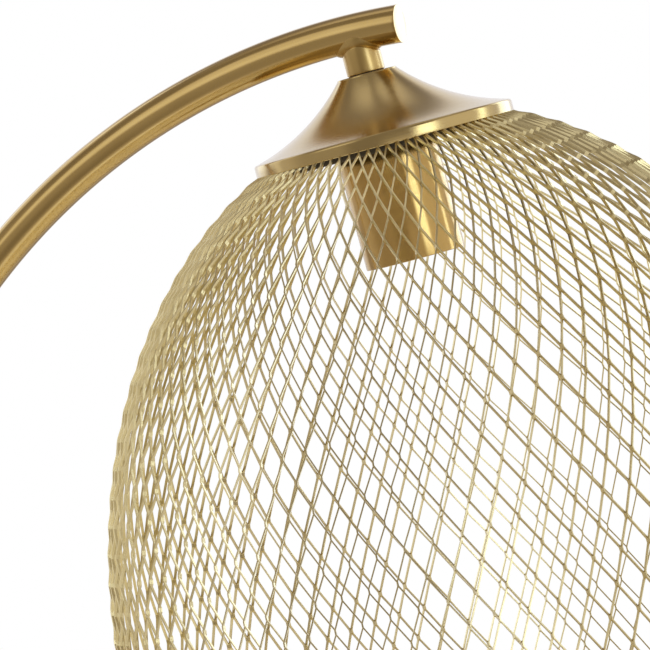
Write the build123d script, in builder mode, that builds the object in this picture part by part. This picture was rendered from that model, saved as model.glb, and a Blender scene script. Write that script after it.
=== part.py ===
from build123d import *
import os
from math import acos, asin, cos, degrees, radians, sin, sqrt

# Arched floor lamp with an open metal lattice shade. Millimetres, +Z up, +X from the pole to the shade.
# The origin is on the floor, on the pole's axis.

# Overall
lamp_height = 1500.0          # floor to the highest point of the arch
head_reach = 310.0            # pole axis to shade axis
fit = 0.05                    # clearance of each piece slid, pressed or screwed into another, per side

# Tube of the pole and the arch
tube_diameter = 16.0
tube_wall = 1.2
arch_radius = 300.0           # centreline; the arch leaves the pole tangentially, so it peaks at this reach
arm_straight = 42.0           # upright foot of the arm, below the arch
tube_tail = 18.0              # how far the tube runs on past the shade axis
plug_face = 1.5               # flat disc that closes the tube's free end
plug_edge = 0.4
plug_spigot = 6.0
insert_length = 12.0          # threaded bush pressed into each tube end
insert_inset = 0.5
rod_diameter = 10.0           # hollow M10 x 1 threaded rod
rod_bore = 8.0
rod_engagement = 9.5          # how far a rod reaches into an insert

# Base
base_diameter = 300.0
base_height = 22.0
cover_wall = 1.2
cover_edge_radius = 6.0
cover_lift = 0.8              # lower edge of the cover above the floor
pad_margin = 8.0              # pad's edge inside the cover's
pad_thickness = 2.0
weight_margin = 28.0          # weight's edge inside the cover's
weight_edge = 3.0
recess_diameter = 50.0        # room for the nut under the weight
weight_web = 3.15             # what the nut clamps above that room
channel_width = 6.0           # groove for the lead, from the rear edge to the recess
channel_height = 7.5
base_washer_diameter = 26.0
washer_thickness = 1.2
nut_flats = 14.0
nut_thickness = 3.0
rod_past_nut = 0.5
collar_diameter = 30.0
collar_height = 12.0
collar_edge = 3.0
bushing_height = 6.5          # axis of the lead's bushing above the floor
bushing_flange = 10.0
bushing_neck = 7.0
bushing_bore = 4.4
bushing_lip = 1.5             # thickness of the flange and of the catch behind the wall

# Lead held inside the lamp
lead_diameter = 4.0
lead_bend = 12.0

# Cap over the shade
rim_drop = 48.1               # tube's axis over the shade down to the plane of the cap's lower edge
cap_diameter = 110.0
cap_height = 30.5
cap_top_diameter = 25.5
cap_wall = 1.0
cap_band = 5.0                # upright band around the rim
cap_shoulder = 1.2            # small bevel from the band in to the flank
cap_shoulder_rise = 0.7
cap_foot_slope = 14.0         # degrees from level where the flank leaves the shoulder
cap_top_edge = 0.6
neck_diameter = 16.0
neck_thread_depth = 6.0
seam_washer_diameter = 15.0   # smaller than the neck, so it shows as a dark seam
seam_washer_thickness = 0.4
spacer_diameter = 13.0
carrier_thickness = 1.2
carrier_margin = 0.4          # carrier's edge to the inside of the cap's band
carrier_flange_height = 4.0   # turned-down ring inside the lattice's upper edge
carrier_flange_inset = 2.0    # that ring's outside in from the lattice's upper edge

# Socket cup and lampholder, size E27
cup_diameter = 42.0
cup_depth = 48.6
cup_wall = 1.0
holder_diameter = 36.4
holder_gap = 0.5              # clamping nut to the lampholder's dome
dome_height = 14.0
dome_wall = 1.6
dome_edge = 5.0               # bevel round the dome's top
dome_boss = 5.0
dome_boss_diameter = 16.0
skirt_length = 28.5
block_diameter = 33.0
block_thickness = 7.0
shell_radius = 13.25          # crest radius of the socket's thread
shell_wall = 0.4
shell_length = 18.3
shell_drop = 2.7              # top of the threaded shell under the contact block
contact_diameter = 7.0
contact_thickness = 0.8
contact_travel = 1.5
contact_stop = 0.2            # what is left between contact and block with a lamp screwed home
stem_diameter = 2.4
stem_length = 7.7
screw_diameter = 4.0
screw_length = 4.0
screw_circle = 23.0
screw_slot = 0.8

# Shade of expanded metal
shade_radius = 165.4
shade_half_height = 217.5     # upright half axis of the shade's ellipse
shade_top_radius = 54.0
shade_seat = 0.1              # lattice to the carrier above it
mouth_radius = 90.0
sheet = 1.0
strand = 1.8
columns = 24                  # openings around the shade
bands = 11                    # half openings down the shade
mouth_band_height = 6.0
mouth_band_wall = 1.5
mouth_band_proud = 0.3        # band's outside past the lattice's edge

os.makedirs("parts", exist_ok=True)

tube_radius = tube_diameter / 2
bore_radius = tube_radius - tube_wall
rod_radius = rod_diameter / 2
peak_z = lamp_height - tube_radius
spring_z = peak_z - arch_radius
arm_foot_z = spring_z - arm_straight
neck_top_z = spring_z + sqrt(arch_radius ** 2 - (head_reach - arch_radius) ** 2)
rim_z = neck_top_z - rim_drop
cap_top_z = rim_z + cap_height
neck_foot_z = cap_top_z + seam_washer_thickness
pole_foot_z = base_height + collar_height
pole_length = (arm_foot_z - pole_foot_z) / 2
pole_joint_z = pole_foot_z + pole_length
base_radius = base_diameter / 2
weight_radius = base_radius - weight_margin
weight_top_z = base_height - cover_wall - fit
nut_seat_z = weight_top_z - weight_web
base_nut_z = nut_seat_z - washer_thickness - nut_thickness
cup_nut_z = rim_z - cup_wall - nut_thickness
dome_top_z = cup_nut_z - holder_gap
skirt_top_z = dome_top_z - dome_height
block_foot_z = skirt_top_z - block_thickness
shell_foot_z = block_foot_z - shell_drop - shell_length
head_top_z = neck_foot_z + neck_thread_depth - fit

head_axis = Axis((head_reach, 0, 0), (0, 0, 1))
cap_section = Plane((head_reach, 0, rim_z), x_dir=(1, 0, 0), z_dir=(0, -1, 0))


def head_level(z):
    """Level plane on the shade's axis."""
    return Plane((head_reach, 0, z))


def pole_level(z):
    """Level plane on the pole's axis."""
    return Plane((0, 0, z))


def save(part, name):
    part.label = name
    export_step(part, f"parts/{name}.step")


# ---- Base ----

with BuildPart() as base_pad:
    with BuildSketch():
        Circle(base_radius - pad_margin)
    extrude(amount=pad_thickness)
save(base_pad.part, "base_pad")

with BuildPart() as base_weight:
    with BuildSketch(pole_level(pad_thickness)):
        Circle(weight_radius)
    extrude(amount=weight_top_z - pad_thickness)
    chamfer(base_weight.faces().sort_by(Axis.Z)[-1].edges(), weight_edge)
    with BuildSketch(pole_level(pad_thickness)):
        with Locations((-weight_radius / 2, 0)):
            Rectangle(weight_radius, channel_width)
    extrude(amount=channel_height, mode=Mode.SUBTRACT)
    with BuildSketch(pole_level(pad_thickness)):
        Circle(recess_diameter / 2)
    extrude(amount=nut_seat_z - pad_thickness, mode=Mode.SUBTRACT)
    with BuildSketch(pole_level(weight_top_z)):
        Circle(rod_radius + fit)
    extrude(amount=-weight_web, mode=Mode.SUBTRACT)
save(base_weight.part, "base_weight")

with BuildPart() as base_cover:
    with BuildSketch(pole_level(cover_lift)):
        Circle(base_radius)
    extrude(amount=base_height - cover_lift)
    fillet(base_cover.faces().sort_by(Axis.Z)[-1].edges(), cover_edge_radius)
    offset(amount=-cover_wall, openings=base_cover.faces().sort_by(Axis.Z)[0])
    with BuildSketch(pole_level(base_height)):
        Circle(rod_radius + fit)
    extrude(amount=-cover_wall, mode=Mode.SUBTRACT)
    with BuildSketch(Plane.YZ.offset(-base_radius)):
        with Locations((0, bushing_height)):
            Circle(bushing_neck / 2 + fit)
    extrude(amount=2 * cover_wall, mode=Mode.SUBTRACT)
save(base_cover.part, "base_cover")

with BuildPart() as cord_bushing:
    with BuildSketch(Plane.YZ.offset(-base_radius - fit)):
        with Locations((0, bushing_height)):
            Circle(bushing_flange / 2)
    extrude(amount=-bushing_lip)
    with BuildSketch(Plane.YZ.offset(-base_radius - fit)):
        with Locations((0, bushing_height)):
            Circle(bushing_neck / 2)
    extrude(amount=cover_wall + 2 * fit + bushing_lip)
    with BuildSketch(Plane.YZ.offset(-base_radius + cover_wall + 2 * fit)):
        with Locations((0, bushing_height)):
            Circle(bushing_neck / 2 + bushing_lip / 2)
    extrude(amount=bushing_lip)
    with BuildSketch(Plane.YZ.offset(-base_radius - bushing_lip - fit)):
        with Locations((0, bushing_height)):
            Circle(bushing_bore / 2)
    extrude(amount=cover_wall + 3 * bushing_lip, mode=Mode.SUBTRACT)
save(cord_bushing.part, "cord_bushing")

with BuildPart() as base_washer:
    with BuildSketch(pole_level(nut_seat_z)):
        Circle(base_washer_diameter / 2)
        Circle(rod_radius + fit, mode=Mode.SUBTRACT)
    extrude(amount=-washer_thickness)
save(base_washer.part, "base_washer")

with BuildPart() as base_nut:
    with BuildSketch(pole_level(base_nut_z)):
        RegularPolygon(nut_flats / 2, 6, major_radius=False)
        Circle(rod_radius + fit, mode=Mode.SUBTRACT)
    extrude(amount=nut_thickness)
save(base_nut.part, "base_nut")

with BuildPart() as pole_collar:
    with BuildSketch(pole_level(base_height)):
        Circle(collar_diameter / 2)
    extrude(amount=collar_height)
    chamfer(pole_collar.faces().sort_by(Axis.Z)[-1].edges(), collar_edge)
    with BuildSketch(pole_level(base_height)):
        Circle(rod_radius + fit)
    extrude(amount=collar_height, mode=Mode.SUBTRACT)
save(pole_collar.part, "pole_collar")

# ---- Pole and arm ----

for name, foot_z in (("pole_lower", pole_foot_z), ("pole_upper", pole_joint_z)):
    with BuildPart() as pole:
        with BuildSketch(pole_level(foot_z)):
            Circle(tube_radius)
            Circle(bore_radius, mode=Mode.SUBTRACT)
        extrude(amount=pole_length)
    save(pole.part, name)

tail_angle = degrees(asin((head_reach + tube_tail - arch_radius) / arch_radius))
with BuildLine(Plane.XZ) as arm_path:
    arm_foot = Line((0, arm_foot_z), (0, spring_z))
    JernArc(start=arm_foot @ 1, tangent=arm_foot % 1, radius=arch_radius, arc_size=-90 - tail_angle)
arm_wire = arm_path.wires()[0]
arm_start = Plane(arm_wire @ 0, z_dir=arm_wire % 0)
arm_end = Plane(arm_wire @ 1, z_dir=arm_wire % 1)

with BuildPart() as arm_tube:
    with BuildSketch(arm_start):
        Circle(tube_radius)
        Circle(bore_radius, mode=Mode.SUBTRACT)
    sweep(path=arm_wire)
    with BuildSketch(head_level(neck_foot_z)):
        Circle(rod_bore / 2)
    extrude(amount=neck_top_z - neck_foot_z, mode=Mode.SUBTRACT)
save(arm_tube.part, "arm_tube")

with BuildPart() as arm_end_plug:
    with BuildSketch(arm_end):
        Circle(tube_radius)
    extrude(amount=plug_face)
    chamfer(arm_end_plug.faces().sort_by(Axis(arm_wire @ 1, arm_wire % 1))[-1].edges(), plug_edge)
    with BuildSketch(arm_end):
        Circle(bore_radius - fit)
    extrude(amount=-plug_spigot)
save(arm_end_plug.part, "arm_end_plug")

insert_levels = [pole_foot_z + insert_inset,
                 pole_joint_z - insert_inset - insert_length,
                 pole_joint_z + insert_inset,
                 arm_foot_z - insert_inset - insert_length,
                 arm_foot_z + insert_inset]
with BuildPart() as tube_inserts:
    for insert_z in insert_levels:
        with BuildSketch(pole_level(insert_z)):
            Circle(bore_radius - fit)
            Circle(rod_radius + fit, mode=Mode.SUBTRACT)
        extrude(amount=insert_length)
save(tube_inserts.part, "tube_inserts")

with BuildPart() as joint_rods:
    for joint_z in (pole_joint_z, arm_foot_z):
        with BuildSketch(pole_level(joint_z)):
            Circle(rod_radius)
            Circle(rod_bore / 2, mode=Mode.SUBTRACT)
        extrude(amount=rod_engagement, both=True)
save(joint_rods.part, "joint_rods")

base_rod_foot_z = base_nut_z - rod_past_nut
with BuildPart() as base_rod:
    with BuildSketch(pole_level(base_rod_foot_z)):
        Circle(rod_radius)
        Circle(rod_bore / 2, mode=Mode.SUBTRACT)
    extrude(amount=pole_foot_z + rod_engagement - base_rod_foot_z)
save(base_rod.part, "base_rod")

# ---- Neck and cap ----

with BuildPart() as arm_neck:
    with BuildSketch(head_level(neck_foot_z)):
        Circle(neck_diameter / 2)
    extrude(amount=neck_top_z - neck_foot_z)
    with BuildSketch(arm_start):
        Circle(tube_radius + fit)
    sweep(path=arm_wire, mode=Mode.SUBTRACT)
    with BuildSketch(head_level(neck_foot_z)):
        Circle(rod_bore / 2)
    extrude(amount=neck_top_z - neck_foot_z, mode=Mode.SUBTRACT)
    with BuildSketch(head_level(neck_foot_z)):
        Circle(rod_radius + fit)
    extrude(amount=neck_thread_depth, mode=Mode.SUBTRACT)
save(arm_neck.part, "arm_neck")

with BuildPart() as seam_washer:
    with BuildSketch(head_level(cap_top_z)):
        Circle(seam_washer_diameter / 2)
        Circle(rod_radius + fit, mode=Mode.SUBTRACT)
    extrude(amount=seam_washer_thickness)
save(seam_washer.part, "seam_washer")

cap_radius = cap_diameter / 2
cap_throat_radius = cap_top_diameter / 2
with BuildPart() as cap:
    with BuildSketch(cap_section):
        with BuildLine():
            band = Line((cap_radius, 0), (cap_radius, cap_band))
            shoulder = Line(band @ 1, (cap_radius - cap_shoulder, cap_band + cap_shoulder_rise))
            flank = TangentArc(shoulder @ 1, (cap_throat_radius, cap_height - cap_top_edge),
                               tangent=(-cos(radians(cap_foot_slope)), sin(radians(cap_foot_slope))))
            Polyline(flank @ 1, (cap_throat_radius - cap_top_edge, cap_height),
                     (rod_radius + fit, cap_height))
            offset(amount=cap_wall, side=Side.LEFT)
        make_face()
    revolve(axis=head_axis)
save(cap.part, "cap")

carrier_radius = cap_radius - cap_wall - carrier_margin
carrier_flange_radius = shade_top_radius - carrier_flange_inset
with BuildPart() as shade_carrier:
    with BuildSketch(head_level(rim_z)):
        Circle(carrier_radius)
        Circle(rod_radius + fit, mode=Mode.SUBTRACT)
    extrude(amount=carrier_thickness)
    with BuildSketch(head_level(rim_z)):
        Circle(carrier_flange_radius)
        Circle(carrier_flange_radius - carrier_thickness, mode=Mode.SUBTRACT)
    extrude(amount=-carrier_flange_height)
save(shade_carrier.part, "shade_carrier")

spacer_foot_z = rim_z + carrier_thickness
with BuildPart() as cap_spacer:
    with BuildSketch(head_level(spacer_foot_z)):
        Circle(spacer_diameter / 2)
        Circle(rod_radius + fit, mode=Mode.SUBTRACT)
    extrude(amount=cap_top_z - cap_wall - spacer_foot_z)
save(cap_spacer.part, "cap_spacer")

head_rod_foot_z = dome_top_z - dome_boss
with BuildPart() as head_rod:
    with BuildSketch(head_level(head_rod_foot_z)):
        Circle(rod_radius)
        Circle(rod_bore / 2, mode=Mode.SUBTRACT)
    extrude(amount=head_top_z - head_rod_foot_z)
save(head_rod.part, "head_rod")

with BuildPart() as head_nut:
    with BuildSketch(head_level(cup_nut_z)):
        RegularPolygon(nut_flats / 2, 6, major_radius=False)
        Circle(rod_radius + fit, mode=Mode.SUBTRACT)
    extrude(amount=nut_thickness)
save(head_nut.part, "head_nut")

# ---- Socket cup and lampholder ----

with BuildPart() as socket_cup:
    with BuildSketch(head_level(rim_z)):
        Circle(cup_diameter / 2)
    extrude(amount=-cup_depth)
    offset(amount=-cup_wall, openings=socket_cup.faces().sort_by(Axis.Z)[0])
    with BuildSketch(head_level(rim_z)):
        Circle(rod_radius + fit)
    extrude(amount=-cup_wall, mode=Mode.SUBTRACT)
save(socket_cup.part, "socket_cup")

with BuildPart() as holder_dome:
    with BuildSketch(head_level(skirt_top_z)):
        Circle(holder_diameter / 2)
    extrude(amount=dome_height)
    chamfer(holder_dome.faces().sort_by(Axis.Z)[-1].edges(), dome_edge)
    offset(amount=-dome_wall, openings=holder_dome.faces().sort_by(Axis.Z)[0])
    with BuildSketch(head_level(dome_top_z)):
        Circle(dome_boss_diameter / 2)
    extrude(amount=-dome_boss)
    with BuildSketch(head_level(dome_top_z)):
        Circle(rod_radius + fit)
    extrude(amount=-dome_boss, mode=Mode.SUBTRACT)
save(holder_dome.part, "holder_dome")

with BuildPart() as holder_skirt:
    with BuildSketch(head_level(skirt_top_z)):
        Circle(holder_diameter / 2)
    extrude(amount=-skirt_length)
    with BuildSketch(head_level(skirt_top_z)):
        Circle(block_diameter / 2 + fit)
    extrude(amount=-block_thickness - fit, mode=Mode.SUBTRACT)
    with BuildSketch(head_level(skirt_top_z)):
        Circle(shell_radius + shell_wall + fit)
    extrude(amount=-skirt_length, mode=Mode.SUBTRACT)
save(holder_skirt.part, "holder_skirt")

with BuildPart() as contact_block:
    with BuildSketch(head_level(block_foot_z)):
        Circle(block_diameter / 2)
        Circle(stem_diameter / 2 + fit, mode=Mode.SUBTRACT)
    extrude(amount=block_thickness)
save(contact_block.part, "contact_block")

with BuildPart() as screw_shell:
    with BuildSketch(head_level(shell_foot_z)):
        Circle(shell_radius + shell_wall)
        Circle(shell_radius, mode=Mode.SUBTRACT)
    extrude(amount=shell_length)
save(screw_shell.part, "screw_shell")

contact_top_z = block_foot_z - contact_travel - contact_stop
with BuildPart() as centre_contact:
    with BuildSketch(head_level(contact_top_z)):
        Circle(contact_diameter / 2)
    extrude(amount=-contact_thickness)
    with BuildSketch(head_level(contact_top_z)):
        Circle(stem_diameter / 2)
    extrude(amount=stem_length)
save(centre_contact.part, "centre_contact")

with BuildPart() as terminal_screws:
    with BuildSketch(head_level(skirt_top_z)):
        with PolarLocations(screw_circle / 2, 2):
            Circle(screw_diameter / 2)
    extrude(amount=screw_length)
    with BuildSketch(head_level(skirt_top_z + screw_length)):
        with PolarLocations(screw_circle / 2, 2):
            Rectangle(screw_diameter, screw_slot)
    extrude(amount=-screw_slot, mode=Mode.SUBTRACT)
save(terminal_screws.part, "terminal_screws")

# ---- Lead from the bushing, up the pole and the arch, down the neck to the lampholder ----

# The lead leaves the arch's centreline where one small bend more brings it down onto the shade's axis.
lead_turn = degrees(acos((arch_radius + lead_bend - head_reach) / (arch_radius - lead_bend)))
lead_end_z = skirt_top_z + screw_length
with BuildLine(Plane.XZ) as lead_path:
    floor_run = Line((-base_radius, bushing_height), (-lead_bend, bushing_height))
    base_bend = JernArc(start=floor_run @ 1, tangent=floor_run % 1, radius=lead_bend, arc_size=90)
    pole_run = Line(base_bend @ 1, (0, spring_z))
    arch_run = JernArc(start=pole_run @ 1, tangent=pole_run % 1, radius=arch_radius, arc_size=-lead_turn)
    neck_bend = JernArc(start=arch_run @ 1, tangent=arch_run % 1, radius=lead_bend, arc_size=lead_turn - 180)
    Line(neck_bend @ 1, (head_reach, lead_end_z))
lead_wire = lead_path.wires()[0]

with BuildPart() as inner_lead:
    with BuildSketch(Plane(lead_wire @ 0, z_dir=lead_wire % 0)):
        Circle(lead_diameter / 2)
    sweep(path=lead_wire)
save(inner_lead.part, "inner_lead")
print("lead length", round(lead_wire.length, 1), "least bend", lead_bend,
      "volume over section times length",
      round(inner_lead.part.volume / (Circle(lead_diameter / 2).area * lead_wire.length), 5))

# ---- Shade: a faceted shell of expanded metal, pierced by staggered diamonds ----

# Rows of joints, evenly spaced along the ellipse from the carrier to the mouth.
outline = Edge.make_ellipse(shade_radius, shade_half_height,
                            start_angle=-degrees(acos(mouth_radius / shade_radius)),
                            end_angle=degrees(acos(shade_top_radius / shade_radius)))
joint_rows = [outline @ (1 - row / bands) for row in range(bands + 1)]
shade_centre_z = rim_z - shade_seat - joint_rows[0].Y
half_facet = 90 / columns       # degrees; an opening is two facets wide


def upright(turn):
    """Upright plane through the shade's axis, turned from +X."""
    return Plane((0, 0, 0),
                 x_dir=(cos(radians(turn)), sin(radians(turn)), 0),
                 z_dir=(sin(radians(turn)), -cos(radians(turn)), 0))


def joint_plane(row, turn):
    """Plane that lies on the wall at a joint, with its own y up the wall."""
    outward = Vector(cos(radians(turn)), sin(radians(turn)), 0)
    down = (joint_rows[min(row + 1, bands)] - joint_rows[max(row - 1, 0)]).normalized()
    return Plane(outward * joint_rows[row].X + Vector(0, 0, joint_rows[row].Y),
                 x_dir=(-outward.Y, outward.X, 0),
                 z_dir=outward * -down.Y + Vector(0, 0, down.X))


# One flat-sided facet of the wall, about the shade's own centre. Its openings lie on its two upright
# edges by turns, so what is left of it is a zigzag strand.
with BuildPart() as facet:
    with BuildSketch(Plane.XZ):
        with BuildLine():
            Polyline(*[(joint.X * cos(radians(half_facet)), joint.Y) for joint in joint_rows])
            offset(amount=sheet, side=Side.RIGHT, kind=Kind.INTERSECTION)
        make_face()
    extrude(amount=shade_radius * sin(radians(half_facet)) + sheet, both=True)
    split(bisect_by=upright(half_facet), keep=Keep.TOP)
    split(bisect_by=upright(-half_facet), keep=Keep.BOTTOM)
    for row, joint in enumerate(joint_rows):
        half_width = joint.X * sin(radians(2 * half_facet))
        corners = [(-half_width, 0), (half_width, 0)]
        if row > 0:
            corners.insert(1, (0, (joint_rows[row - 1] - joint).length))
        if row < bands:
            corners.append((0, -(joint_rows[row + 1] - joint).length))
        with BuildSketch(joint_plane(row, half_facet if row % 2 else -half_facet)):
            with BuildLine():
                Polyline(*corners, close=True)
            make_face()
            offset(amount=-strand / 2, kind=Kind.INTERSECTION, mode=Mode.REPLACE)
        extrude(amount=6 * sheet, both=True, mode=Mode.SUBTRACT)

with BuildPart() as facet_pair:
    add(facet)
    mirror(about=upright(half_facet))

with BuildPart(Plane((head_reach, 0, shade_centre_z))) as shade_mesh:
    with PolarLocations(0, columns, start_angle=half_facet):
        add(facet_pair.part, clean=False)
save(shade_mesh.part, "shade_mesh")
print("shade openings", columns * bands, "row spacing", round((joint_rows[1] - joint_rows[0]).length, 1))

mouth_z = shade_centre_z + joint_rows[-1].Y
mouth_band_radius = mouth_radius + mouth_band_proud
with BuildPart() as shade_mouth_band:
    with BuildSketch(head_level(mouth_z - fit)):
        Circle(mouth_band_radius)
        Circle(mouth_band_radius - mouth_band_wall, mode=Mode.SUBTRACT)
    extrude(amount=-mouth_band_height)
save(shade_mouth_band.part, "shade_mouth_band")
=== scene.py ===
from math import asin, atan2, cos, degrees, hypot, pi, radians, sin, sqrt

import bpy
from mathutils import Matrix, Vector


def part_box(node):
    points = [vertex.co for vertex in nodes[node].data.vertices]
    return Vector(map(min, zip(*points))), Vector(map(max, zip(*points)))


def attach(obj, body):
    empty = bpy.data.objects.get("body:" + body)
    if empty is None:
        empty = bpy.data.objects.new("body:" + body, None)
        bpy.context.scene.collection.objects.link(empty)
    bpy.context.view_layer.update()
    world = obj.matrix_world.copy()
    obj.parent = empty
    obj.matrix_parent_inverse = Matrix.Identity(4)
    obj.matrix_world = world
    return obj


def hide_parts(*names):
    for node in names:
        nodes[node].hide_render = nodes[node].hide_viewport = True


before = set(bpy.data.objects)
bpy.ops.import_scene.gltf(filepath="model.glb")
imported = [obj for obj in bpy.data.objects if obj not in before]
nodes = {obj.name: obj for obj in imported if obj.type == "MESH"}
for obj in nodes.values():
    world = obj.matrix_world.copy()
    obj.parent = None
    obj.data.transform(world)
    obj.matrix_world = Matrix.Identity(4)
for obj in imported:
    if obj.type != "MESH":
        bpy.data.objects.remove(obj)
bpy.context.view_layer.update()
scene = bpy.context.scene
mm = 0.001
print("lamp frame loaded:", len(nodes), "pieces")

# where the head sits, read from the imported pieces
capLow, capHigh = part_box("cap")
headX = (capLow.x + capHigh.x) / 2
rimZ = capLow.z                                 # level of the cap's lower edge


cameraSetup = {
    "aim": Vector((-46, 0, -66)) * mm,          # aimed point, from the middle of the cap's rim
    "turn": 19.0,                               # degrees round from the side of the arch
    "lift": 1.8,                                # degrees above level
    "roll": -15.0,                              # the photo leans over
    "distance": 2.2,
    "lens": 292.4,
    "sensor": 36.0,
    "farthest": 50.0,                           # metres that the camera sees
}


def placeCamera(setup):
    turn, lift, roll = (radians(setup[key]) for key in ("turn", "lift", "roll"))
    back = Vector((sin(turn) * cos(lift), -cos(turn) * cos(lift), sin(lift)))
    side = (-back).cross(Vector((0, 0, 1))).normalized()
    up = side.cross(-back)
    right = cos(roll) * side + sin(roll) * up
    top = cos(roll) * up - sin(roll) * side
    camera = bpy.data.objects.new("camera", bpy.data.cameras.new("camera"))
    camera.data.lens = setup["lens"]
    camera.data.sensor_width = setup["sensor"]
    camera.data.clip_end = setup["farthest"]
    spot = Vector((headX, 0, rimZ)) + setup["aim"] + back * setup["distance"]
    camera.matrix_world = Matrix((right, top, back)).transposed().to_4x4()
    camera.matrix_world.translation = spot
    scene.collection.objects.link(camera)
    scene.camera = camera


placeCamera(cameraSetup)
print("camera placed")


creaseAngle = 32.0                              # degrees; sharper bends between faces stay crisp
rodHole = 5.05 * mm                             # bore for the threaded rods


def addPiece(name, points, faces, material, uvs=None, smooth=True, stands=()):
    mesh = bpy.data.meshes.new(name)
    mesh.from_pydata(points, [], faces)
    mesh.polygons.foreach_set("use_smooth", [smooth] * len(mesh.polygons))
    if uvs:
        layer = mesh.uv_layers.new(name="surface")
        flat = [value for corner in uvs for value in corner]
        layer.data.foreach_set("uv", flat)
    mesh.update()
    if smooth:
        mesh.set_sharp_from_angle(angle=radians(creaseAngle))
    piece = bpy.data.objects.new(name, mesh)
    scene.collection.objects.link(piece)
    mesh.materials.append(material)
    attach(piece, "lamp")
    if stands:
        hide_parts(*stands)
    return piece


# quads over a grid of points, row after row
def gridFaces(rows, columns, closeRows=False):
    faces = []
    for row in range(rows if closeRows else rows - 1):
        below = (row + 1) % rows
        for column in range(columns):
            beside = (column + 1) % columns
            faces.append((row * columns + column, row * columns + beside,
                          below * columns + beside, below * columns + column))
    return faces


# metres across and along, for the corners of gridFaces in the same order
def gridUvs(rows, columns, acrossSize, alongSteps, closeRows=False):
    uvs = []
    for row in range(rows if closeRows else rows - 1):
        for column in range(columns):
            left = acrossSize * column / columns
            right = acrossSize * (column + 1) / columns
            top, low = alongSteps[row], alongSteps[row + 1]
            uvs += [(left, top), (right, top), (right, low), (left, low)]
    return uvs


def runningLength(points):
    steps = [0.0]
    for near, far in zip(points, points[1:]):
        steps.append(steps[-1] + hypot(far[0] - near[0], far[1] - near[1]))
    return steps


# turns an outline of (radius, height) points, in metres, round an upright axis
def turned(name, outline, material, axisX=0.0, segments=128, closed=False, stands=()):
    ring = outline + outline[:1] if closed else outline
    steps = runningLength(ring)
    points = []
    for radius, height in outline:
        for step in range(segments):
            angle = 2 * pi * step / segments
            points.append((axisX + radius * cos(angle), radius * sin(angle), height))
    widest = max(radius for radius, height in outline)
    faces = gridFaces(len(outline), segments, closeRows=closed)
    uvs = gridUvs(len(outline), segments, 2 * pi * widest, steps, closeRows=closed)
    return addPiece(name, points, faces, material, uvs, stands=stands)


# points on an arc, angles in degrees
def arcPoints(centre, radius, start, end, count):
    angles = [radians(start + (end - start) * step / (count - 1)) for step in range(count)]
    return [(centre[0] + radius * cos(a), centre[1] + radius * sin(a)) for a in angles]


def addNode(material, kind, **settings):
    node = material.node_tree.nodes.new(kind)
    for key, value in settings.items():
        if key in node.inputs:
            node.inputs[key].default_value = value
        else:
            setattr(node, key, value)
    return node


def wire(material, start, end):
    material.node_tree.links.new(start, end)


def plainShader(name, colour, metallic, roughness):
    material = bpy.data.materials.new(name)
    material.use_nodes = True
    shader = material.node_tree.nodes["Principled BSDF"]
    shader.inputs["Base Color"].default_value = (*colour, 1)
    shader.inputs["Metallic"].default_value = metallic
    shader.inputs["Roughness"].default_value = roughness
    return material, shader


def lacquer(shader, look):
    shader.inputs["Coat Weight"].default_value = look["coat"]
    shader.inputs["Coat Roughness"].default_value = look["coatRoughness"]
    shader.inputs["Coat IOR"].default_value = look["coatIndex"]


grainShape = {
    "patchDetail": 3.0,
    "patchRoughness": 0.5,
    "grainDetail": 4.0,
    "grainRoughness": 0.6,
    "low": 0.3,                                 # noise below this counts as the darkest or smoothest
    "high": 0.7,
    "relief": 0.1 * mm,
}


# slow drift between two tones of the finish
def colourPatches(material, shader, where, look):
    noise = addNode(material, "ShaderNodeTexNoise", Scale=look["patch"], Detail=grainShape["patchDetail"],
                    Roughness=grainShape["patchRoughness"])
    wire(material, where, noise.inputs["Vector"])
    ramp = addNode(material, "ShaderNodeValToRGB")
    ramp.color_ramp.elements[0].position = grainShape["low"]
    ramp.color_ramp.elements[0].color = (*look["dark"], 1)
    ramp.color_ramp.elements[1].position = grainShape["high"]
    ramp.color_ramp.elements[1].color = (*look["light"], 1)
    wire(material, noise.outputs["Fac"], ramp.inputs["Fac"])
    wire(material, ramp.outputs["Color"], shader.inputs["Base Color"])


# fine grain in roughness and bump, stretched by the mapping's scale
def grain(material, shader, where, look):
    mapping = addNode(material, "ShaderNodeMapping", Scale=look["stretch"])
    wire(material, where, mapping.inputs["Vector"])
    noise = addNode(material, "ShaderNodeTexNoise", Scale=1.0, Detail=grainShape["grainDetail"],
                    Roughness=grainShape["grainRoughness"])
    wire(material, mapping.outputs["Vector"], noise.inputs["Vector"])
    span = addNode(material, "ShaderNodeMapRange")
    span.inputs["From Min"].default_value = grainShape["low"]
    span.inputs["From Max"].default_value = grainShape["high"]
    span.inputs["To Min"].default_value = look["roughness"] - look["spread"]
    span.inputs["To Max"].default_value = look["roughness"] + look["spread"]
    wire(material, noise.outputs["Fac"], span.inputs["Value"])
    wire(material, span.outputs["Result"], shader.inputs["Roughness"])
    bump = addNode(material, "ShaderNodeBump", Strength=look["depth"], Distance=grainShape["relief"])
    wire(material, noise.outputs["Fac"], bump.inputs["Height"])
    wire(material, bump.outputs["Normal"], shader.inputs["Normal"])


# antique brass plate with brushing that follows the piece's own surface map
def brushedBrass(name, look, mapping="UV"):
    material, shader = plainShader(name, look["light"], look["metallic"], look["roughness"])
    surface = addNode(material, "ShaderNodeTexCoord").outputs[mapping]
    colourPatches(material, shader, surface, look)
    grain(material, shader, surface, look)
    lacquer(shader, look)
    if look["spin"]:
        shader.inputs["Anisotropic"].default_value = look["spin"]
        shader.inputs["Anisotropic Rotation"].default_value = look["spinTurn"]
        tangent = addNode(material, "ShaderNodeTangent", direction_type="RADIAL", axis="Z")
        wire(material, tangent.outputs["Tangent"], shader.inputs["Tangent"])
    return material


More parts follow.
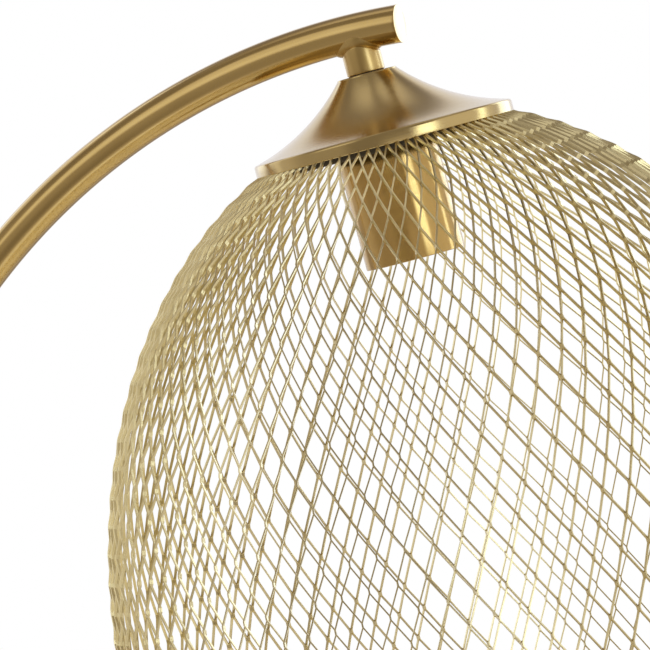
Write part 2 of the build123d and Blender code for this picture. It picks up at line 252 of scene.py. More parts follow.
# moulded, cast, coated or plated finish with an even grain
def speckled(name, look):
    material, shader = plainShader(name, look["light"], look["metallic"], look["roughness"])
    place = addNode(material, "ShaderNodeTexCoord").outputs["Object"]
    colourPatches(material, shader, place, look)
    grain(material, shader, place, look)
    return material


tubeBrass = {
    "light": (0.59, 0.395, 0.112),
    "dark": (0.54, 0.355, 0.092),
    "metallic": 1.0,
    "roughness": 0.17,
    "spread": 0.03,
    "depth": 0.12,
    "patch": 30.0,
    "stretch": (2600.0, 70.0, 1.0),             # brushed along the tube
    "spin": 0.0,
    "spinTurn": 0.0,
    "coat": 0.6,
    "coatRoughness": 0.1,
    "coatIndex": 1.75,
}
flankBrass = {
    **tubeBrass,
    "light": (0.59, 0.42, 0.14),
    "dark": (0.54, 0.38, 0.12),
    "roughness": 0.17,
    "spread": 0.04,
    "depth": 0.4,
    "stretch": (26.0, 1900.0, 1.0),             # brushed in rings
    "spin": 0.7,
    "spinTurn": 0.25,                           # so a highlight spreads across the rings
    "coatRoughness": 0.2,
}
bandBrass = {
    **flankBrass,
    "roughness": 0.13,
    "spread": 0.02,
    "depth": 0.08,
    "spin": 0.0,
    "coatRoughness": 0.08,
}
neckBrass = {**tubeBrass, "roughness": 0.33, "coatRoughness": 0.22}
cupBrass = {**bandBrass, "light": (0.58, 0.37, 0.095), "dark": (0.53, 0.33, 0.075)}
meshGold = {
    **tubeBrass,
    "light": (0.78, 0.655, 0.34),
    "dark": (0.66, 0.535, 0.25),
    "roughness": 0.3,
    "spread": 0.03,
    "depth": 0.1,
    "patch": 60.0,
    "stretch": (900.0, 900.0, 1.0),
    "coat": 0.5,
    "coatRoughness": 0.2,
    "coatIndex": 1.6,
}
zincPlate = {
    "light": (0.66, 0.66, 0.63),
    "dark": (0.52, 0.52, 0.50),
    "metallic": 1.0,
    "roughness": 0.33,
    "spread": 0.07,
    "depth": 0.3,
    "patch": 90.0,
    "stretch": (1200.0, 1200.0, 1200.0),
}
# the carrier's dark coat, made near black so that, seen through the first openings, it paints the shade
# under the cap
carrierDarkShade = {
    "light": (0.085, 0.064, 0.034),
    "dark": (0.045, 0.033, 0.017),
    "metallic": 0.2,
    "roughness": 0.7,
    "spread": 0.08,
    "depth": 0.3,
    "patch": 60.0,
    "stretch": (800.0, 800.0, 800.0),
}
washerFibre = {
    "light": (0.035, 0.030, 0.028),
    "dark": (0.020, 0.018, 0.017),
    "metallic": 0.0,
    "roughness": 0.85,
    "spread": 0.08,
    "depth": 0.5,
    "patch": 200.0,
    "stretch": (1500.0, 1500.0, 1500.0),
}
castIron = {
    "light": (0.075, 0.075, 0.078),
    "dark": (0.035, 0.035, 0.037),
    "metallic": 0.3,
    "roughness": 0.72,
    "spread": 0.12,
    "depth": 1.0,
    "patch": 40.0,
    "stretch": (350.0, 350.0, 350.0),
}
padFoam = {
    "light": (0.045, 0.045, 0.048),
    "dark": (0.020, 0.020, 0.022),
    "metallic": 0.0,
    "roughness": 0.92,
    "spread": 0.05,
    "depth": 1.0,
    "patch": 120.0,
    "stretch": (900.0, 900.0, 900.0),
}
mouldedBlack = {
    "light": (0.035, 0.033, 0.031),
    "dark": (0.022, 0.021, 0.020),
    "metallic": 0.0,
    "roughness": 0.42,
    "spread": 0.06,
    "depth": 0.5,
    "patch": 70.0,
    "stretch": (1400.0, 1400.0, 1400.0),
}
glazedCeramic = {
    "light": (0.82, 0.80, 0.76),
    "dark": (0.74, 0.72, 0.67),
    "metallic": 0.0,
    "roughness": 0.22,
    "spread": 0.05,
    "depth": 0.15,
    "patch": 120.0,
    "stretch": (500.0, 500.0, 500.0),
}
contactBrass = {
    "light": (0.78, 0.60, 0.31),
    "dark": (0.66, 0.49, 0.23),
    "metallic": 1.0,
    "roughness": 0.22,
    "spread": 0.06,
    "depth": 0.3,
    "patch": 150.0,
    "stretch": (1500.0, 1500.0, 1500.0),
}
leadSheath = {
    "light": (0.62, 0.60, 0.54),
    "dark": (0.54, 0.52, 0.46),
    "metallic": 0.0,
    "roughness": 0.5,
    "spread": 0.06,
    "depth": 0.3,
    "patch": 60.0,
    "stretch": (800.0, 800.0, 800.0),
}

finishes = {
    "tubeBrass": brushedBrass("tubeBrass", tubeBrass),
    "flankBrass": brushedBrass("flankBrass", flankBrass),
    "bandBrass": brushedBrass("bandBrass", bandBrass),
    "neckBrass": brushedBrass("neckBrass", neckBrass),
    "cupBrass": brushedBrass("cupBrass", cupBrass),
    "meshGold": brushedBrass("meshGold", meshGold, "Object"),
    "zincPlate": speckled("zincPlate", zincPlate),
    "carrierDarkShade": speckled("carrierDarkShade", carrierDarkShade),
    "washerFibre": speckled("washerFibre", washerFibre),
    "castIron": speckled("castIron", castIron),
    "padFoam": speckled("padFoam", padFoam),
    "mouldedBlack": speckled("mouldedBlack", mouldedBlack),
    "glazedCeramic": speckled("glazedCeramic", glazedCeramic),
    "contactBrass": speckled("contactBrass", contactBrass),
    "leadSheath": speckled("leadSheath", leadSheath),
}
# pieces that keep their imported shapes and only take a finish
nodeFinishes = {
    "base_weight": "castIron", "cord_bushing": "mouldedBlack",
    "base_washer": "zincPlate", "base_nut": "zincPlate", "base_rod": "zincPlate",
    "tube_inserts": "zincPlate", "joint_rods": "zincPlate", "cap_spacer": "zincPlate",
    "head_rod": "zincPlate", "head_nut": "zincPlate", "terminal_screws": "zincPlate",
    "holder_dome": "mouldedBlack", "holder_skirt": "mouldedBlack",
    "contact_block": "glazedCeramic", "screw_shell": "contactBrass", "centre_contact": "contactBrass",
    "inner_lead": "leadSheath",
}
for nodeName, finish in nodeFinishes.items():
    nodes[nodeName].data.materials.clear()
    nodes[nodeName].data.materials.append(finishes[finish])
print("finishes mixed:", len(finishes))


meshLow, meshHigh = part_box("shade_mesh")
shadeShape = {
    "radius": 163.1 * mm,                       # widest, at the strands' middle
    "topRadius": 54.0 * mm,
    "mouthRadius": 90.0 * mm,
    "columns": 86,                              # openings round the shade
    "rowStep": 11.92 * mm,                      # joint rows along the wall
    "firstRow": 1.4 * mm,                       # upper edge to the first row of joints
    "lean": 4.9 * mm,                           # the rows run a little out of level
    "leanTurn": 175.0,                          # degrees, where they lie lowest
    "bond": 1.6 * mm,                           # length over which two strands are one
    "overlap": 0.85,                            # how far two strands lie side by side in a joint
    "strand": 1.15 * mm,
    "sheet": 0.66 * mm,
    "bevel": 0.12 * mm,
    "tilt": 70.0,                               # strands stand on edge, as in a strongly stretched sheet
    "start": -75.9,                             # degrees, where the first joint lies
    "waver": 0.14 * mm,                         # each joint a little off its place
}


# a repeatable number between -1 and 1 for each set of whole numbers
def scattered(first, second=0, third=0):
    spread = sin(first * 12.9898 + second * 78.233 + third * 37.719) * 43758.5453
    return spread - int(spread)


# points of the shade's wall from its upper edge to its mouth, with the running length
def wallPoints(shape, count=600):
    rise = sqrt(1 - (shape["topRadius"] / shape["radius"]) ** 2)
    fall = sqrt(1 - (shape["mouthRadius"] / shape["radius"]) ** 2)
    half = (meshHigh.z - meshLow.z) / (rise + fall)
    middle = meshHigh.z - half * rise
    first, last = asin(rise), -asin(fall)
    points = []
    for step in range(count + 1):
        t = first + (last - first) * step / count
        points.append((shape["radius"] * cos(t), middle + half * sin(t)))
    return points, runningLength(points)


def buildShade(shape):
    wall, lengths = wallPoints(shape)
    total = lengths[-1]
    halfPitch = pi / shape["columns"]
    tilt = radians(shape["tilt"])
    half, thick, bevel = shape["strand"] / 2, shape["sheet"] / 2, shape["bevel"]
    section = [(-half, -thick), (half, -thick), (half, thick - bevel), (half - bevel, thick),
               (bevel - half, thick), (-half, thick - bevel)]
    rows = int((total - shape["firstRow"]) / shape["rowStep"]) + 2

    def wallAt(length):
        place = min(max(length / total, 0), 1) * (len(wall) - 1)
        index = min(int(place), len(wall) - 2)
        # the steps are nearly even, so one look either way finds the right one
        while index > 0 and lengths[index] > length:
            index -= 1
        while index < len(wall) - 2 and lengths[index + 1] < length:
            index += 1
        near, far = wall[index], wall[index + 1]
        part = (length - lengths[index]) / (lengths[index + 1] - lengths[index])
        radius = near[0] + (far[0] - near[0]) * part
        height = near[1] + (far[1] - near[1]) * part
        down = Vector((far[0] - near[0], 0, far[1] - near[1])).normalized()
        return radius, height, down

    def waver(row, joint, which):
        # the same for both strands that share the joint
        return scattered(row, joint % (2 * shape["columns"]), which) * shape["waver"]

    def station(length, turn, side):
        radius, height, down = wallAt(length)
        around = Vector((-sin(turn), cos(turn), 0))
        outward = Vector((cos(turn), sin(turn), 0))
        facing = outward * -down.z + Vector((0, 0, down.x))
        broad = cos(tilt) * around + sin(tilt) * facing
        deep = cos(tilt) * facing - sin(tilt) * around
        middle = outward * radius + Vector((headX, 0, height)) + broad * (half * side * shape["overlap"])
        return [middle + broad * x + deep * y for x, y in section]

    points, faces = [], []
    corners = len(section)
    for column in range(shape["columns"]):
        for hand in (1, -1):
            marks = []                          # (length down the wall, turn, side of the joint)
            for row in range(-1, rows):
                joint = 2 * column + (hand if row % 2 else 0)
                radius = wallAt(min(max(shape["firstRow"] + row * shape["rowStep"], 0), total))[0]
                turn = joint * halfPitch + radians(shape["start"]) + waver(row, joint, 0) / radius
                sag = shape["lean"] * cos(turn - radians(shape["leanTurn"]))
                middle = shape["firstRow"] + row * shape["rowStep"] + sag + waver(row, joint, 1)
                side = -hand if row % 2 else hand
                marks.append((middle - shape["bond"] / 2, turn, side))
                marks.append((middle + shape["bond"] / 2, turn, side))
            kept = []
            for near, far in zip(marks, marks[1:]):
                for edge in (0.0, total):
                    if near[0] < edge < far[0]:
                        part = (edge - near[0]) / (far[0] - near[0])
                        kept.append(tuple(a + (b - a) * part for a, b in zip(near, far)))
                if 0 <= far[0] <= total:
                    kept.append(far)
            kept.sort()
            base = len(points)
            for mark in kept:
                points += station(*mark)
            for step in range(len(kept) - 1):
                for corner in range(corners):
                    after = (corner + 1) % corners
                    low = base + step * corners
                    faces.append((low + corner, low + after, low + corners + after, low + corners + corner))
            faces.append(tuple(base + corner for corner in reversed(range(corners))))
            end = base + (len(kept) - 1) * corners
            faces.append(tuple(end + corner for corner in range(corners)))
    return addPiece("cageMesh", points, faces, finishes["meshGold"], smooth=False,
                    stands=["shade_mesh"])


cageMesh = buildShade(shadeShape)
print("cage woven:", len(cageMesh.data.polygons), "faces")

mouthLow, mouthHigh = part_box("shade_mouth_band")
mouthBand = {"wall": 1.5 * mm, "edge": 0.5 * mm}


# cross-section of a ring with rounded corners, outside first, going up
def ringOutline(inner, outer, low, high, edge, steps=5):
    outline = arcPoints((outer - edge, low + edge), edge, -90, 0, steps)
    outline += arcPoints((outer - edge, high - edge), edge, 0, 90, steps)
    outline += arcPoints((inner + edge, high - edge), edge, 90, 180, steps)
    outline += arcPoints((inner + edge, low + edge), edge, 180, 270, steps)
    return outline


mouthOuter = (mouthHigh.x - mouthLow.x) / 2
turned("mouthBand", ringOutline(mouthOuter - mouthBand["wall"], mouthOuter, mouthLow.z, mouthHigh.z,
                                mouthBand["edge"]),
       finishes["meshGold"], headX, closed=True, stands=["shade_mouth_band"])


capShape = {
    "wall": 1.0 * mm,
    "band": 5.3 * mm,                           # upright band round the rim
    "bandRound": 1.1 * mm,
    "lipRound": 0.35 * mm,
    "footSlope": 14.0,                          # degrees from level where the flank starts
    "topRadius": 12.75 * mm,
    "topRound": 0.6 * mm,
}


def capOutline(shape):
    radius = (capHigh.x - capLow.x) / 2
    high = capHigh.z
    lip, edge = shape["lipRound"], shape["bandRound"]
    slope = radians(shape["footSlope"])
    # the band's rounded shoulder turns from upright to the flank's own slope
    shoulder = (radius - edge, rimZ + shape["band"] - edge)
    outline = arcPoints((radius - lip, rimZ + lip), lip, -90, 0, 4)
    outline += arcPoints(shoulder, edge, 0, 90 - shape["footSlope"], 7)
    foot = outline[-1]
    top = (shape["topRadius"], high - shape["topRound"])
    reach = (top[0] - foot[0], top[1] - foot[1])
    bow = (reach[0] ** 2 + reach[1] ** 2) / (2 * (reach[0] * sin(slope) + reach[1] * cos(slope)))
    middle = (foot[0] + bow * sin(slope), foot[1] + bow * cos(slope))
    first = atan2(foot[1] - middle[1], foot[0] - middle[0])
    last = atan2(top[1] - middle[1], top[0] - middle[0])
    flank = arcPoints(middle, bow, degrees(first), degrees(last), 28)
    outline += flank[1:]
    outline += arcPoints((shape["topRadius"] - shape["topRound"], high - shape["topRound"]),
                         shape["topRound"], 0, 90, 4)
    outline += [(rodHole, high), (rodHole, high - shape["wall"])]
    inner = arcPoints(middle, bow + shape["wall"], degrees(last), degrees(first), 12)
    outline += [(r, z) for r, z in inner if r > rodHole]
    outline += [(radius - shape["wall"], rimZ + shape["band"] - edge), (radius - shape["wall"], rimZ)]
    return outline


turned("bellCap", capOutline(capShape), finishes["flankBrass"], headX, 192,
       closed=True, stands=["cap"])

carrierLow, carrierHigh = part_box("shade_carrier")
carrierShape = {
    "plate": 1.2 * mm,
    "edge": 0.3 * mm,
    "flange": 2.2 * mm,                         # turned-down ring, seen through the first openings; near black, so it paints the shade under the cap
    "flangeRadius": 52.0 * mm,
}


def carrierOutline(shape):
    radius, high = (carrierHigh.x - carrierLow.x) / 2, carrierHigh.z
    low, edge, ring = high - shape["plate"], shape["edge"], shape["flangeRadius"]
    foot, inside = low - shape["flange"], ring - shape["plate"]
    outline = [(rodHole, low), (inside, low), (inside, foot + edge), (inside + edge, foot)]
    outline += arcPoints((ring - edge, foot + edge), edge, -90, 0, 4)
    outline += [(ring, low)]
    outline += arcPoints((radius - edge, low + edge), edge, -90, 0, 4)
    outline += arcPoints((radius - edge, high - edge), edge, 0, 90, 4)
    outline.append((rodHole, high))
    return outline


# near-black carrier, whose flange paints the shade under the cap
turned("shadeCarrier", carrierOutline(carrierShape), finishes["carrierDarkShade"], headX, 128,
       closed=True, stands=["shade_carrier"])

washerLow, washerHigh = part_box("seam_washer")
washerShape = {"edge": 0.15 * mm, "steps": 3}
turned("seamWasher", ringOutline(rodHole, (washerHigh.x - washerLow.x) / 2, washerLow.z, washerHigh.z,
                                 washerShape["edge"], washerShape["steps"]),
       finishes["washerFibre"], headX, 64, closed=True, stands=["seam_washer"])
print("cap spun")


armLow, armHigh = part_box("arm_tube")
neckLow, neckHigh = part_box("arm_neck")
archShape = {
    "radius": 300.0 * mm,                       # of the tube's centreline
    "wall": 1.2 * mm,
    "past": 18.0 * mm,                          # how far the tube runs on past the shade's axis
    "plugFace": 1.5 * mm,
    "plugDepth": 4.0 * mm,
    "plugRound": 0.25 * mm,
    "around": 64,
    "steps": 150,
}
tubeRadius = -armLow.x
springZ = armHigh.z - tubeRadius - archShape["radius"]
tailTurn = asin((headX + archShape["past"] - archShape["radius"]) / archShape["radius"])


# centreline point and its frame; turn counts from the pole's side, over the top
def archPlace(turn):
    spot = Vector((archShape["radius"] * (1 - cos(turn)), 0, springZ + archShape["radius"] * sin(turn)))
    outward = Vector((-cos(turn), 0, sin(turn)))
    return spot, outward


def buildArch(shape):
    rings = [(Vector((0, 0, armLow.z)), Vector((-1, 0, 0)), 0.0)]
    straight = springZ - armLow.z
    for step in range(shape["steps"] + 1):
        turn = (pi / 2 + tailTurn) * step / shape["steps"]
        spot, outward = archPlace(turn)
        rings.append((spot, outward, straight + turn * shape["radius"]))
    points = []
    for radius in (tubeRadius, tubeRadius - shape["wall"]):
        for spot, outward, along in rings:
            for step in range(shape["around"]):
                angle = 2 * pi * step / shape["around"]
                points.append(spot + outward * (radius * cos(angle)) + Vector((0, -radius * sin(angle), 0)))
        rings.reverse()
    rows = 2 * len(rings)
    steps = [along for spot, outward, along in rings]
    steps += [along for spot, outward, along in reversed(rings)] + [0.0]
    return addPiece("archTube", points, gridFaces(rows, shape["around"], closeRows=True),
                    finishes["tubeBrass"],
                    gridUvs(rows, shape["around"], 2 * pi * tubeRadius, steps, closeRows=True),
                    stands=["arm_tube"])


def buildPlug(shape):
    face, edge = shape["plugFace"], shape["plugRound"]
    bore, back = tubeRadius - shape["wall"], -shape["plugDepth"]
    outline = [(0.0, back), (bore, back), (bore, 0.0), (tubeRadius, 0.0)]
    outline += arcPoints((tubeRadius - edge, face - edge), edge, 0, 90, 6)
    outline += [((tubeRadius - edge) / 2, face), (0.0, face)]
    piece = turned("archEndPlug", outline, finishes["tubeBrass"], 0.0, 64,
                   stands=["arm_end_plug"])
    spot, outward = archPlace(pi / 2 + tailTurn)
    ahead = Vector((outward.z, 0, -outward.x))
    turn = Matrix((outward, ahead.cross(outward), ahead)).transposed().to_4x4()
    piece.data.transform(Matrix.Translation(spot) @ turn)


buildArch(archShape)
buildPlug(archShape)

neckShape = {
    "wall": 3.0 * mm,
    "footRound": 0.3 * mm,
    "shoulderDrop": 1.2 * mm,                   # shoulder at the arch's plane below the tube's underside
    "shoulderLift": 0.6 * mm,
    "shoulderRise": 2.9 * mm,                   # shoulder at the front above the shoulder under the tube
    "shoulderRound": 0.7 * mm,
    "shoulderTurn": 75.0,                       # degrees that the shoulder rounds over
    "groove": 0.75 * mm,                        # how far the bead's foot lies inside the shoulder
    "grooveRise": 0.25 * mm,
    "beadRise": 6.0 * mm,                       # bead's upper edge on the tube's side
    "beadReach": 2.2 * mm,                      # bead's spread along the tube's underside
    "beadStart": 0.1 * mm,
    "beadProud": 0.05 * mm,
    "bulge": 0.3 * mm,
    "sinkIn": 1.2 * mm,                         # the bead ends inside the tube's wall
    "sinkUp": 0.9 * mm,
    "around": 128,
}


# short upright stub, with a bead of weld between its shoulder and the arch
def buildNeck(shape):
    radius = (neckHigh.y - neckLow.y) / 2
    axisZ = springZ + sqrt(archShape["radius"] ** 2 - (headX - archShape["radius"]) ** 2)
    foot, level = neckLow.z, axisZ - tubeRadius
    columns = []
    for step in range(shape["around"]):
        angle = 2 * pi * step / shape["around"]
        front = sin(angle) ** 2
        rise = shape["shoulderRise"] + shape["shoulderLift"]
        shoulder = level - shape["shoulderDrop"] + rise * front
        beadTop = level + shape["beadStart"] + shape["beadRise"] * front
        # the tube's side at the bead's upper edge, and its underside along the tube
        side = sqrt(tubeRadius ** 2 - (axisZ - beadTop) ** 2)
        beadOut = min(side / max(abs(sin(angle)), 0.001), radius + shape["beadReach"]) + shape["beadProud"]
        lip = shape["shoulderRound"]
        column = [(radius - shape["wall"], foot), (radius - shape["footRound"], foot)]
        column += arcPoints((radius - shape["footRound"], foot + shape["footRound"]),
                            shape["footRound"], -90, 0, 4)[1:]
        column += arcPoints((radius - lip, shoulder - lip), lip, 0, shape["shoulderTurn"], 6)
        grooveOut, grooveUp = radius - shape["groove"], shoulder + shape["grooveRise"]
        column.append((grooveOut, grooveUp))
        for part in (0.25, 0.5, 0.75, 1.0):
            bulge = shape["bulge"] * sin(pi * part)
            column.append((grooveOut + (beadOut - grooveOut) * part + bulge * front,
                           grooveUp + (beadTop - grooveUp) * part - bulge * (1 - front)))
        column.append((beadOut - shape["sinkIn"], beadTop + shape["sinkUp"]))
        columns.append((angle, column))
    rows = len(columns[0][1])
    points = []
    for row in range(rows):
        for angle, column in columns:
            out, height = column[row]
            points.append((headX + out * cos(angle), out * sin(angle), height))
    steps = runningLength(columns[0][1])
    return addPiece("archNeck", points, gridFaces(rows, shape["around"]), finishes["neckBrass"],
                    gridUvs(rows, shape["around"], 2 * pi * radius, steps),
                    stands=["arm_neck"])


buildNeck(neckShape)

poleShape = {"wall": 1.2 * mm, "edge": 0.3 * mm}
for nodeName, pieceName in (("pole_lower", "poleLower"), ("pole_upper", "poleUpper")):
    low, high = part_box(nodeName)
    turned(pieceName, ringOutline(tubeRadius - poleShape["wall"], tubeRadius, low.z, high.z,
                                  poleShape["edge"]),
           finishes["tubeBrass"], 0.0, 64, closed=True, stands=[nodeName])
print("pole and arch bent")


coverLow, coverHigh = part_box("base_cover")
collarLow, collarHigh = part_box("pole_collar")
baseShape = {
    "wall": 1.2 * mm,
    "edge": 6.0 * mm,
    "lip": 0.35 * mm,
    "collarEdge": 3.0 * mm,
}


def coverOutline(shape):
    radius, low, high = (coverHigh.y - coverLow.y) / 2, coverLow.z, coverHigh.z
    wall, edge, lip = shape["wall"], shape["edge"], shape["lip"]
    outline = arcPoints((radius - lip, low + lip), lip, -90, 0, 4)
    outline += arcPoints((radius - edge, high - edge), edge, 0, 90, 14)
    outline += [(radius * part, high) for part in (0.8, 0.6, 0.4, 0.2)]
    outline += [(rodHole, high), (rodHole, high - wall)]
    outline += [(radius * part, high - wall) for part in (0.3, 0.6, 0.8)]
    outline += arcPoints((radius - edge, high - edge), edge - wall, 90, 0, 8)
    outline.append((radius - wall, low))
    return outline


turned("baseCover", coverOutline(baseShape), finishes["bandBrass"], 0.0, 192,
       closed=True, stands=["base_cover"])


def collarOutline(shape):
    radius, low, high = (collarHigh.x - collarLow.x) / 2, collarLow.z, collarHigh.z
    edge, lip = shape["collarEdge"], shape["lip"]
    outline = [(rodHole, low), (radius - lip, low)]
    outline += arcPoints((radius - lip, low + lip), lip, -90, 0, 4)[1:]
    outline += arcPoints((radius - edge, high - edge), edge, 0, 90, 10)
    outline.append((rodHole, high))
    return outline


turned("poleCollar", collarOutline(baseShape), finishes["bandBrass"], 0.0, 96,
       closed=True, stands=["pole_collar"])

padLow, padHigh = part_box("base_pad")
padShape = {
    "pinHole": 1.5 * mm,
    "crown": 0.175 * mm,                        # underside rises this much towards its middle and its rim
    "sink": 0.05 * mm,                          # upper face below the weight
    "rings": (0.15, 0.3, 0.45, 0.6, 0.75, 0.88),    # shares of the radius
    "cells": 0.12 * mm,                         # how far the cut rim wavers
    "flat": 0.2,                                # share of the radius that doesn't waver
    "segments": 160,
}


# closed-cell foam disc that rests on a broad ring between its middle and its rim
def buildPad(shape):
    radius, low, high = (padHigh.x - padLow.x) / 2, padLow.z, padHigh.z
    edge = (high - low) / 2
    outline = [(shape["pinHole"], low)]
    for part in shape["rings"]:
        outline.append((radius * part, low + shape["crown"] * cos(pi * part) ** 2))
    outline += arcPoints((radius - edge, low + edge), edge, -90, 90, 9)
    for part in reversed(shape["rings"]):
        outline.append((radius * part, high - shape["sink"]))
    outline.append((shape["pinHole"], high - shape["sink"]))
    piece = turned("basePad", outline, finishes["padFoam"], 0.0, shape["segments"],
                   closed=True, stands=["base_pad"])
    for number, point in enumerate(piece.data.vertices):
        inward = shape["cells"] * scattered(number) ** 2
        out = hypot(point.co.x, point.co.y)
        if out > radius * shape["flat"]:
            point.co.x -= point.co.x / out * inward
            point.co.y -= point.co.y / out * inward


buildPad(padShape)
print("base dressed")


cupLow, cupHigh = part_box("socket_cup")
cupShape = {"wall": 1.0 * mm, "topRound": 1.2 * mm, "lip": 0.35 * mm}


def cupOutline(shape):
    radius, low, high = (cupHigh.x - cupLow.x) / 2, cupLow.z, cupHigh.z
    wall, edge, lip = shape["wall"], shape["topRound"], shape["lip"]
    outline = arcPoints((radius - lip, low + lip), lip, -90, 0, 4)
    outline += arcPoints((radius - edge, high - edge), edge, 0, 90, 6)
    outline += [(rodHole, high), (rodHole, high - wall), (radius - wall, high - wall)]
    outline += arcPoints((radius - wall + lip, low + lip), lip, 180, 270, 4)
    return outline


turned("socketCup", cupOutline(cupShape), finishes["cupBrass"], headX, 128,
       closed=True, stands=["socket_cup"])
print("socket cup spun")


studio = {
    "floorSize": 1.6,
    "floorTone": (0.93, 0.93, 0.93),
    "floorRoughness": 0.9,
    "roomTone": 0.92,                           # even light on dull surfaces
    "warmTone": (1.06, 0.96, 0.93),             # tint of what is dim, and of what is bright, in metal
    "coolTone": (0.98, 1.12, 1.3),
    "mirrorTone": 0.27,                         # the dim room that polished metal sees between softboxes
    "brightTone": 1.8,                          # what shines this much has the cool tint in full
}
# what polished metal sees round the lamp: middle, half size and softness in degrees, and brightness.
# Azimuth counts from the camera's side, to the right.
softboxes = {
    "backdrop": {"azimuth": 175, "height": 5, "wide": 51, "tall": 28, "soft": 12, "glow": 0.62},
    "rightRim": {"azimuth": 138, "height": -2, "wide": 13, "tall": 26, "soft": 8, "glow": 1.3},
    "leftRim": {"azimuth": -136, "height": 24, "wide": 20, "tall": 25, "soft": 10, "glow": 0.55},
    "leftStrip": {"azimuth": -112, "height": -5, "wide": 4, "tall": 28, "soft": 4, "glow": 0.4},
    "rightStrip": {"azimuth": 98, "height": -5, "wide": 4, "tall": 28, "soft": 5, "glow": 1.7},
    "window": {"azimuth": 37, "height": -3, "wide": 9, "tall": 12, "soft": 9, "glow": 2.4},
    "rightWall": {"azimuth": 82, "height": -5, "wide": 38, "tall": 40, "soft": 16, "glow": 0.52},
    "leftWall": {"azimuth": -72, "height": -5, "wide": 37, "tall": 40, "soft": 12, "glow": 0.15},
    "leftCorner": {"azimuth": -108, "height": -5, "wide": 20, "tall": 40, "soft": 24, "glow": 0.2},
    "leftStreak": {"azimuth": -143, "height": 45, "wide": 9, "tall": 5, "soft": 5, "glow": 0.5},
    "upperLeft": {"azimuth": -48, "height": 36, "wide": 20, "tall": 19, "soft": 12, "glow": 0.62},
    "front": {"azimuth": 14, "height": -26, "wide": 16, "tall": 18, "soft": 14, "glow": 0.33},
    "lowFront": {"azimuth": -30, "height": -54, "wide": 45, "tall": 6, "soft": 8, "glow": 0.5},
    "floor": {"azimuth": 180, "height": -90, "wide": 180, "tall": 50, "soft": 20, "glow": 0.3},
    "overheadLeft": {"azimuth": -146, "height": 80, "wide": 34, "tall": 14, "soft": 18, "glow": 0.45},
    "overheadRight": {"azimuth": 132, "height": 66, "wide": 30, "tall": 14, "soft": 18, "glow": 0.5},
}


def buildFloor(look):
    half = look["floorSize"] / 2
    middle = headX / 2
    mesh = bpy.data.meshes.new("studioFloor")
    mesh.from_pydata([(middle - half, -half, 0), (middle + half, -half, 0),
                      (middle + half, half, 0), (middle - half, half, 0)], [], [(0, 1, 2, 3)])
    floor = bpy.data.objects.new("studioFloor", mesh)
    scene.collection.objects.link(floor)
    material, shader = plainShader("floorPaper", look["floorTone"], 0.0, look["floorRoughness"])
    # clear from below, so that the underside can be seen
    clear = addNode(material, "ShaderNodeBsdfTransparent")
    sides = addNode(material, "ShaderNodeNewGeometry")
    either = addNode(material, "ShaderNodeMixShader")
    wire(material, sides.outputs["Backfacing"], either.inputs["Fac"])
    wire(material, shader.outputs["BSDF"], either.inputs[1])
    wire(material, clear.outputs["BSDF"], either.inputs[2])
    wire(material, either.outputs["Shader"], material.node_tree.nodes["Material Output"].inputs["Surface"])
    mesh.materials.append(material)


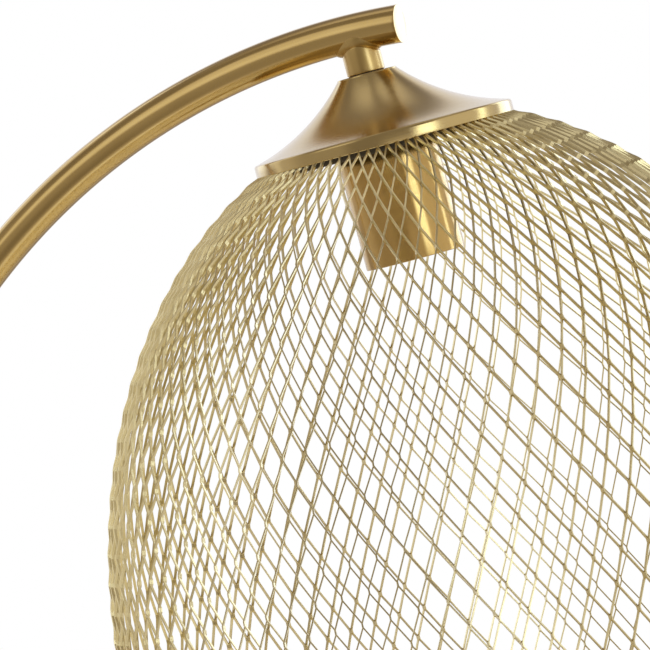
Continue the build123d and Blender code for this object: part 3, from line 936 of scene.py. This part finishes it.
def buildWorld(look, boxes):
    world = bpy.data.worlds.new("studio")
    scene.world = world
    world.use_nodes = True
    tree = world.node_tree
    background = tree.nodes["Background"]
    background.inputs["Color"].default_value = (1, 1, 1, 1)

    def maths(kind, *values):
        node = tree.nodes.new("ShaderNodeMath")
        node.operation = kind
        for index, value in enumerate(values):
            if isinstance(value, (int, float)):
                node.inputs[index].default_value = value
            else:
                tree.links.new(value, node.inputs[index])
        return node.outputs["Value"]

    def falloff(distance, size, soft):
        node = tree.nodes.new("ShaderNodeMapRange")
        node.interpolation_type = "SMOOTHSTEP"
        for key, value in (("From Min", size - soft / 2), ("From Max", size + soft / 2),
                           ("To Min", 1.0), ("To Max", 0.0)):
            node.inputs[key].default_value = value
        tree.links.new(distance, node.inputs["Value"])
        return node.outputs["Result"]

    place = tree.nodes.new("ShaderNodeTexCoord")
    split = tree.nodes.new("ShaderNodeSeparateXYZ")
    tree.links.new(place.outputs["Generated"], split.inputs["Vector"])
    towards = maths("MULTIPLY", split.outputs["Y"], -1)
    compass = maths("MULTIPLY", maths("ARCTAN2", split.outputs["X"], towards), degrees(1))
    azimuth = maths("SUBTRACT", compass, cameraSetup["turn"])
    height = maths("MULTIPLY", maths("ARCSINE", split.outputs["Z"]), degrees(1))
    seen = None
    for box in boxes.values():
        aside = maths("ABSOLUTE", maths("WRAP", maths("SUBTRACT", azimuth, box["azimuth"]), 180, -180))
        above = maths("ABSOLUTE", maths("SUBTRACT", height, box["height"]))
        glow = maths("MULTIPLY", maths("MULTIPLY", falloff(aside, box["wide"], box["soft"]),
                                       falloff(above, box["tall"], box["soft"])), box["glow"])
        seen = maths("ADD", glow, look["mirrorTone"] if seen is None else seen)
    rays = tree.nodes.new("ShaderNodeLightPath")
    shine = maths("MULTIPLY", rays.outputs["Is Glossy Ray"], seen)
    shown = maths("MAXIMUM", rays.outputs["Is Camera Ray"], rays.outputs["Is Transmission Ray"])
    direct = maths("MAXIMUM", rays.outputs["Is Glossy Ray"], shown)
    dull = maths("MULTIPLY", maths("SUBTRACT", 1.0, direct), look["roomTone"])
    tree.links.new(maths("ADD", maths("ADD", shine, shown), dull), background.inputs["Strength"])

    def blended(factor, first, second):
        node = tree.nodes.new("ShaderNodeMix")
        node.data_type = "RGBA"
        tree.links.new(factor, node.inputs["Factor"])
        for socket, colour in ((node.inputs[6], first), (node.inputs[7], second)):
            if isinstance(colour, tuple):
                socket.default_value = (*colour, 1)
            else:
                tree.links.new(colour, socket)
        return node.outputs[2]

    level = tree.nodes.new("ShaderNodeMapRange")
    level.inputs["From Min"].default_value = look["mirrorTone"]
    level.inputs["From Max"].default_value = look["brightTone"]
    tree.links.new(seen, level.inputs["Value"])
    tint = blended(level.outputs["Result"], look["warmTone"], look["coolTone"])
    shownTint = blended(rays.outputs["Is Glossy Ray"], (1.0, 1.0, 1.0), tint)
    tree.links.new(shownTint, background.inputs["Color"])


# metres from the world's middle, metres wide and high, and watts
lamps = {
    "keySoftbox": {"spot": (-1.1, -1.3, 2.5), "size": (0.9, 0.9), "power": 18},
    "sideSoftbox": {"spot": (1.9, -1.0, 1.7), "size": (0.5, 1.2), "power": 9},
    "lowFill": {"spot": (0.4, -2.2, 0.7), "size": (1.2, 0.6), "power": 6},
}
aimDrop = 0.1                                   # lamps point this far below the cap's rim


def addLamp(name, look):
    light = bpy.data.lights.new(name, "AREA")
    light.shape = "RECTANGLE"
    light.size, light.size_y = look["size"]
    light.energy = look["power"]
    lamp = bpy.data.objects.new(name, light)
    lamp.location = look["spot"]
    ray = Vector((headX, 0, rimZ - aimDrop)) - Vector(look["spot"])
    lamp.rotation_euler = ray.to_track_quat("-Z", "Y").to_euler()
    lamp.visible_glossy = False                 # metal sees the softboxes of the world instead
    scene.collection.objects.link(lamp)


buildFloor(studio)
buildWorld(studio, softboxes)
for lampName, lampLook in lamps.items():
    addLamp(lampName, lampLook)
print("studio lit")

scene.view_settings.view_transform = "Standard"
